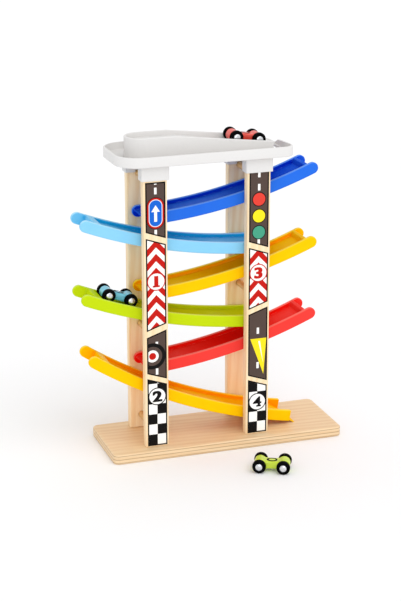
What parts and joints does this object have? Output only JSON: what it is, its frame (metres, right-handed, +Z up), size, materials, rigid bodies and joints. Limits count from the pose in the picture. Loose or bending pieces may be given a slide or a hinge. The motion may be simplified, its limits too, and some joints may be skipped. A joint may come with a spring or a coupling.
{
  "type": "wooden car track",
  "caption": "Zigzag toy car run: curved plastic tracks between wooden plank towers on a base board, with a launch tray on top and small rolling cars.",
  "frame": {"origin": "centre of the base board's underside, on the floor", "axes": "+X along the base towards the exit end, +Y from the printed front to the back, +Z up"},
  "size_m": [0.3829, 0.234, 0.4625],
  "materials": {
    "pale_wood": "pale sanded wood under clear lacquer",
    "dowel_wood": "bare turned wood",
    "steel": "bright zinc plate",
    "grey_plastic": "satin moulded plastic",
    "blue_plastic": "semi-gloss moulded plastic",
    "light_blue_plastic": "semi-gloss moulded plastic",
    "yellow_plastic": "semi-gloss moulded plastic",
    "green_plastic": "semi-gloss moulded plastic",
    "red_plastic": "semi-gloss moulded plastic",
    "red_paint": "painted wood",
    "blue_paint": "painted wood",
    "green_paint": "painted wood",
    "black_wheel": "satin black"
  },
  "bodies": {
    "frame": {"base_board": "pale_wood", "plank_front_left": "pale_wood", "plank_rear_left": "pale_wood", "plank_front_right": "pale_wood", "plank_rear_right": "pale_wood", "dowel_left_top": "dowel_wood", "dowel_left_middle": "dowel_wood", "dowel_left_low": "dowel_wood", "dowel_right_top": "dowel_wood", "dowel_right_middle": "dowel_wood", "base_screw_front_left": "steel", "base_screw_rear_left": "steel", "base_screw_front_right": "steel", "base_screw_rear_right": "steel", "launch_tray": "grey_plastic", "track_1_blue": "blue_plastic", "track_2_light_blue": "light_blue_plastic", "track_3_yellow": "yellow_plastic", "track_4_green": "green_plastic", "track_5_red": "red_plastic", "track_6_exit": "yellow_plastic"},
    "red_car": {"car_red_body": "red_paint"},
    "red_car_front_wheels": {"car_red_axle_front": "steel", "car_red_wheel_front_left": "black_wheel", "car_red_wheel_front_right": "black_wheel"},
    "red_car_rear_wheels": {"car_red_axle_rear": "steel", "car_red_wheel_rear_left": "black_wheel", "car_red_wheel_rear_right": "black_wheel"},
    "blue_car": {"car_blue_body": "blue_paint"},
    "blue_car_front_wheels": {"car_blue_axle_front": "steel", "car_blue_wheel_front_left": "black_wheel", "car_blue_wheel_front_right": "black_wheel"},
    "blue_car_rear_wheels": {"car_blue_axle_rear": "steel", "car_blue_wheel_rear_left": "black_wheel", "car_blue_wheel_rear_right": "black_wheel"},
    "green_car": {"car_green_body": "green_paint"},
    "green_car_front_wheels": {"car_green_axle_front": "steel", "car_green_wheel_front_left": "black_wheel", "car_green_wheel_front_right": "black_wheel"},
    "green_car_rear_wheels": {"car_green_axle_rear": "steel", "car_green_wheel_rear_left": "black_wheel", "car_green_wheel_rear_right": "black_wheel"}
  },
  "joints": [
    {"name": "red_car_roll", "type": "slide", "parent": "frame", "child": "red_car", "axis": [0.9877, 0, -0.1561], "range_m": [-0.075, 0.004]},
    {"name": "red_car_front_spin", "type": "hinge", "parent": "red_car", "child": "red_car_front_wheels", "pos_m": [0.05779, 0, 0.447], "axis": [0, 1, 0], "continuous": true},
    {"name": "red_car_rear_spin", "type": "hinge", "parent": "red_car", "child": "red_car_rear_wheels", "pos_m": [0.02421, 0, 0.45231], "axis": [0, 1, 0], "continuous": true},
    {"name": "blue_car_roll", "type": "hinge", "parent": "frame", "child": "blue_car", "pos_m": [0.08302, 0, 0.92361], "axis": [0, -1, 0], "range_deg": [0, 15.6]},
    {"name": "blue_car_front_spin", "type": "hinge", "parent": "blue_car", "child": "blue_car_front_wheels", "pos_m": [-0.13339, 0, 0.2282], "axis": [0, 1, 0], "continuous": true},
    {"name": "blue_car_rear_spin", "type": "hinge", "parent": "blue_car", "child": "blue_car_rear_wheels", "pos_m": [-0.16561, 0, 0.23906], "axis": [0, 1, 0], "continuous": true},
    {"name": "green_car_roll", "type": "slide", "parent": "frame", "child": "green_car", "axis": [0.8934, -0.4493, 0], "range_m": [-0.08, 0.15]},
    {"name": "green_car_front_spin", "type": "hinge", "parent": "green_car", "child": "green_car_front_wheels", "pos_m": [0.04759, -0.15264, 0.0097], "axis": [0.4493, 0.8934, 0], "continuous": true},
    {"name": "green_car_rear_spin", "type": "hinge", "parent": "green_car", "child": "green_car_rear_wheels", "pos_m": [0.01721, -0.13736, 0.0097], "axis": [0.4493, 0.8934, 0], "continuous": true}
  ],
  "couplings": [
    {"joint": "red_car_front_spin", "follows": "red_car_roll", "rad_per_m": 103.09},
    {"joint": "red_car_rear_spin", "follows": "red_car_roll", "rad_per_m": 103.09},
    {"joint": "blue_car_front_spin", "follows": "blue_car_roll", "ratio": 76.113},
    {"joint": "blue_car_rear_spin", "follows": "blue_car_roll", "ratio": 76.113},
    {"joint": "green_car_front_spin", "follows": "green_car_roll", "rad_per_m": 103.09},
    {"joint": "green_car_rear_spin", "follows": "green_car_roll", "rad_per_m": 103.09}
  ]
}
